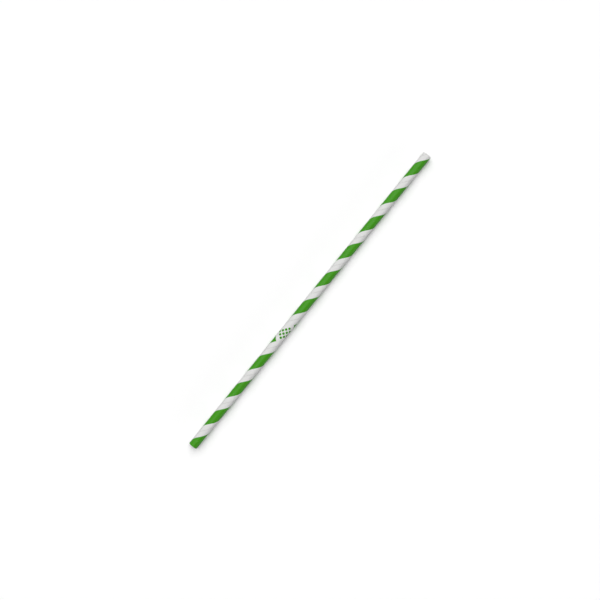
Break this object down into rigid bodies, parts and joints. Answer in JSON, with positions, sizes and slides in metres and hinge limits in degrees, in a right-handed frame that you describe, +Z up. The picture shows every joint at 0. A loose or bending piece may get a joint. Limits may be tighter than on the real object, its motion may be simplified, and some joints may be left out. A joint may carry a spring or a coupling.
{
  "type": "paper drinking straw",
  "caption": "Straight spiral-wound paper drinking straw, a slender open tube with square-cut ends and fine helical butt seams, lying on its side.",
  "frame": {"origin": "bottom centre of the straw's box: halfway along its length, on the line where its underside touches the table", "axes": "+X along the straw, +Z up"},
  "size_m": [0.2, 0.005, 0.005],
  "materials": {
    "paper": "uncoated white paper with a printed green helical stripe"
  },
  "bodies": {
    "root": {"paper_straw": "paper"}
  },
  "joints": []
}
